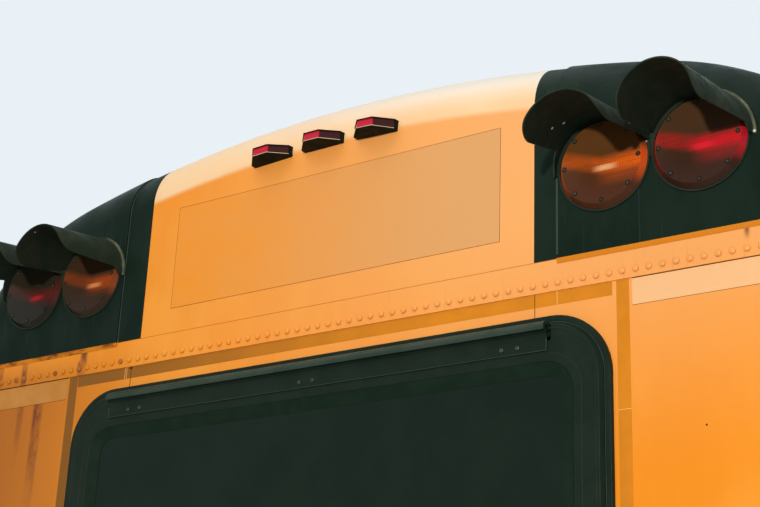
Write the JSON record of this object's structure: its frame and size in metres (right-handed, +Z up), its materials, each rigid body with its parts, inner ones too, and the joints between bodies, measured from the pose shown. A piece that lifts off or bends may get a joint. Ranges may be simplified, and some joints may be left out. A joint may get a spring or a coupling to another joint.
{
  "type": "school bus upper rear body end",
  "caption": "Upper rear end of a school bus body: arched roof cap with hooded warning lamps and marker lamps over a top-hinged push-out emergency window.",
  "frame": {"origin": "on the foot of the belt rail, at the middle of the width, in the plane of the middle roof cap's rear face", "axes": "+X to the right seen from behind the bus, +Y forward into the cabin, +Z up"},
  "size_m": [2.462, 0.635, 1.467],
  "materials": {
    "cap_paint": "gloss",
    "lamp_panel_paint": "satin",
    "body_paint": "gloss",
    "rail_paint": "satin",
    "inner_paint": "satin",
    "reflector": "bright",
    "amber_lens": "clear moulded",
    "red_lens": "clear moulded",
    "hood_black": "matte",
    "marker_base": "matte",
    "rubber_seal": "matte",
    "window_black": "satin",
    "window_glass": "dark tint",
    "latch_red": "satin",
    "strut_black": "satin",
    "strut_steel": "polished"
  },
  "bodies": {
    "shell": {"access_covers": "inner_paint", "belt_rail": "rail_paint", "cap_center": "cap_paint", "cap_left": "lamp_panel_paint", "cap_right": "lamp_panel_paint", "clearance_lamp_left_base": "marker_base", "clearance_lamp_left_lens": "red_lens", "clearance_lamp_right_base": "marker_base", "clearance_lamp_right_lens": "red_lens", "flange_rail": "body_paint", "front_bow": "inner_paint", "header_panel": "inner_paint", "hinge_rail": "window_black", "id_lamp_center_base": "marker_base", "id_lamp_center_lens": "red_lens", "id_lamp_left_base": "marker_base", "id_lamp_left_lens": "red_lens", "id_lamp_right_base": "marker_base", "id_lamp_right_lens": "red_lens", "left_amber_bucket": "reflector", "left_amber_hood": "hood_black", "left_amber_lens": "amber_lens", "left_red_bucket": "reflector", "left_red_hood": "hood_black", "left_red_lens": "red_lens", "right_amber_bucket": "reflector", "right_amber_hood": "hood_black", "right_amber_lens": "amber_lens", "right_red_bucket": "reflector", "right_red_hood": "hood_black", "right_red_lens": "red_lens", "wall_header": "body_paint", "wall_left": "body_paint", "wall_right": "body_paint", "wall_sill": "body_paint", "window_frame": "window_black", "window_seal": "rubber_seal"},
    "window": {"sash": "window_black", "window_glass": "window_glass", "hinge_leaf": "window_black", "latch_handle": "latch_red"},
    "strut_tube_left": {"strut_tube_left": "strut_black"},
    "strut_rod_left": {"strut_rod_left": "strut_steel"},
    "strut_tube_right": {"strut_tube_right": "strut_black"},
    "strut_rod_right": {"strut_rod_right": "strut_steel"}
  },
  "joints": [
    {"name": "window_hinge", "type": "hinge", "parent": "shell", "child": "window", "pos_m": [0, -0.0155, 0.85], "axis": [-1, 0, 0], "range_deg": [0, 55]},
    {"name": "strut_left_turn", "type": "hinge", "parent": "shell", "child": "strut_tube_left", "pos_m": [-0.599, 0.038, 0.76], "axis": [-1, 0, 0], "range_deg": [0, 62.4]},
    {"name": "strut_left_slide", "type": "slide", "parent": "strut_tube_left", "child": "strut_rod_left", "axis": [0, -0.0387, -0.9993], "range_m": [0, 0.088]},
    {"name": "strut_right_turn", "type": "hinge", "parent": "shell", "child": "strut_tube_right", "pos_m": [0.599, 0.038, 0.76], "axis": [-1, 0, 0], "range_deg": [0, 62.4]},
    {"name": "strut_right_slide", "type": "slide", "parent": "strut_tube_right", "child": "strut_rod_right", "axis": [0, -0.0387, -0.9993], "range_m": [0, 0.088]}
  ],
  "couplings": [
    {"joint": "strut_left_turn", "follows": "window_hinge", "ratio": 1.1254},
    {"joint": "strut_left_slide", "follows": "window_hinge", "m_per_rad": 0.090615},
    {"joint": "strut_right_turn", "follows": "window_hinge", "ratio": 1.1254},
    {"joint": "strut_right_slide", "follows": "window_hinge", "m_per_rad": 0.090615}
  ]
}
